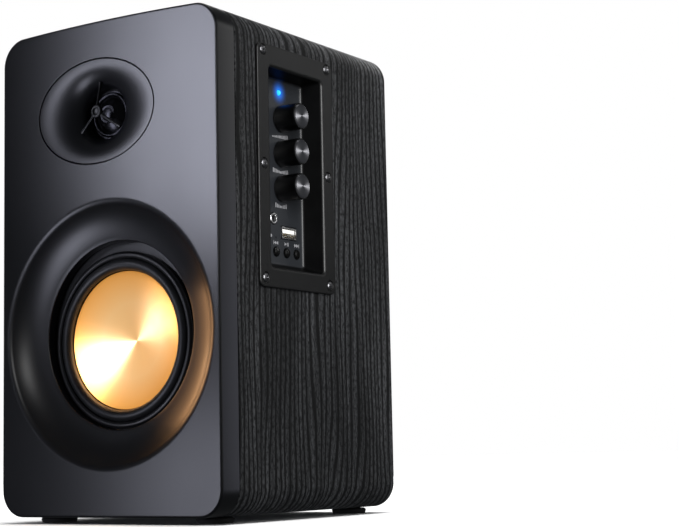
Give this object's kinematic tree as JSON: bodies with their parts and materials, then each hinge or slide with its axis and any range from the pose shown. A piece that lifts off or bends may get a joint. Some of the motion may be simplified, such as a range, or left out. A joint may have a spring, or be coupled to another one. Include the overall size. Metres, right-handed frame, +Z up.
{
  "type": "bookshelf speaker",
  "caption": "Powered two-way bookshelf speaker in a black ash cabinet, with a gold woofer, a flared tweeter and a recessed side control panel.",
  "frame": {"origin": "middle of the whole object's box in plan, on the surface that the feet stand on", "axes": "+Z up, the front face and drivers face -Y, the control panel faces +X"},
  "size_m": [0.1456, 0.166, 0.255],
  "materials": {
    "baffle_paint": "satin dark grey paint",
    "ash_vinyl": "black ash wrap, vertical grain",
    "fibreboard": "painted fibreboard",
    "panel_plastic": "fine grained",
    "black_plastic": "satin",
    "lever_red": "smooth",
    "rubber": "matte",
    "gold_cone": "spun, gold anodised",
    "dome_film": "smooth",
    "spider_cloth": "resin treated weave",
    "steel": "plated",
    "plate_paint": "fine textured powder coat",
    "ferrite": "ground",
    "copper": "enamelled wire winding",
    "aluminium": "spun end faces",
    "led_lens": "clear",
    "circuit_board": "solder mask"
  },
  "bodies": {
    "cabinet": {"amp_board": "circuit_board", "amp_plate": "plate_paint", "aux_jack": "black_plastic", "bass_potentiometer": "steel", "cabinet_shell": "ash_vinyl", "control_board": "circuit_board", "control_panel": "panel_plastic", "driver_board": "fibreboard", "foot_front_left": "rubber", "foot_front_right": "rubber", "foot_rear_left": "rubber", "foot_rear_right": "rubber", "front_baffle": "baffle_paint", "heat_sink": "aluminium", "line_in_jacks": "black_plastic", "panel_screw_1": "steel", "panel_screw_2": "steel", "panel_screw_3": "steel", "panel_screw_4": "steel", "panel_screw_5": "steel", "panel_screw_6": "steel", "plate_screw_1": "steel", "plate_screw_2": "steel", "plate_screw_3": "steel", "plate_screw_4": "steel", "port_tube": "black_plastic", "power_inlet": "black_plastic", "rear_panel": "fibreboard", "status_led": "led_lens", "switch_housing": "black_plastic", "terminal_block": "black_plastic", "transformer": "steel", "treble_potentiometer": "steel", "tweeter_magnet": "ferrite", "tweeter_phase_plug": "black_plastic", "tweeter_waveguide": "baffle_paint", "usb_port": "steel", "volume_potentiometer": "steel", "woofer_basket": "black_plastic", "woofer_magnet": "ferrite", "woofer_spider": "spider_cloth", "woofer_surround": "rubber", "woofer_top_plate": "steel", "woofer_trim_ring": "black_plastic", "woofer_yoke": "steel"},
    "woofer_moving": {"woofer_cone": "gold_cone", "woofer_voice_coil": "copper"},
    "tweeter_moving": {"tweeter_dome": "dome_film"},
    "volume_control": {"volume_knob": "black_plastic", "volume_knob_cap": "aluminium"},
    "treble_control": {"treble_knob": "black_plastic", "treble_knob_cap": "aluminium"},
    "bass_control": {"bass_knob": "black_plastic", "bass_knob_cap": "aluminium"},
    "previous_key": {"previous_button": "black_plastic"},
    "play_key": {"play_button": "black_plastic"},
    "next_key": {"next_button": "black_plastic"},
    "negative_clip": {"negative_lever": "black_plastic"},
    "positive_clip": {"positive_lever": "lever_red"},
    "mains_rocker": {"power_rocker": "black_plastic"}
  },
  "joints": [
    {"name": "woofer_travel", "type": "slide", "parent": "cabinet", "child": "woofer_moving", "axis": [0, -1, 0], "range_m": [-0.003, 0.003], "stiffness_N_per_m": 1000, "deforming": ["woofer_surround", "woofer_spider"]},
    {"name": "tweeter_travel", "type": "slide", "parent": "cabinet", "child": "tweeter_moving", "axis": [0, -1, 0], "range_m": [-0.0003, 0.0003], "stiffness_N_per_m": 800},
    {"name": "volume_turn", "type": "hinge", "parent": "cabinet", "child": "volume_control", "pos_m": [0.05858, -0.015, 0.2061], "axis": [1, 0, 0], "range_deg": [-150, 150]},
    {"name": "treble_turn", "type": "hinge", "parent": "cabinet", "child": "treble_control", "pos_m": [0.05858, -0.015, 0.1876], "axis": [1, 0, 0], "range_deg": [-150, 150]},
    {"name": "bass_turn", "type": "hinge", "parent": "cabinet", "child": "bass_control", "pos_m": [0.05858, -0.015, 0.1694], "axis": [1, 0, 0], "range_deg": [-150, 150]},
    {"name": "previous_press", "type": "slide", "parent": "cabinet", "child": "previous_key", "axis": [-1, 0, 0], "range_m": [0, 0.0008], "stiffness_N_per_m": 600, "springref_m": -0.0005},
    {"name": "play_press", "type": "slide", "parent": "cabinet", "child": "play_key", "axis": [-1, 0, 0], "range_m": [0, 0.0008], "stiffness_N_per_m": 600, "springref_m": -0.0005},
    {"name": "next_press", "type": "slide", "parent": "cabinet", "child": "next_key", "axis": [-1, 0, 0], "range_m": [0, 0.0008], "stiffness_N_per_m": 600, "springref_m": -0.0005},
    {"name": "negative_lever_press", "type": "hinge", "parent": "cabinet", "child": "negative_clip", "pos_m": [0.01268, 0.0768, 0.1042], "axis": [1, 0, 0], "range_deg": [0, 18], "stiffness_Nm_per_rad": 0.25, "springref_deg": -5.73},
    {"name": "positive_lever_press", "type": "hinge", "parent": "cabinet", "child": "positive_clip", "pos_m": [0.03268, 0.0768, 0.1042], "axis": [1, 0, 0], "range_deg": [0, 18], "stiffness_Nm_per_rad": 0.25, "springref_deg": -5.73},
    {"name": "mains_switch", "type": "hinge", "parent": "cabinet", "child": "mains_rocker", "pos_m": [0.02668, 0.072, 0.0392], "axis": [1, 0, 0], "range_deg": [-16, 0]}
  ]
}
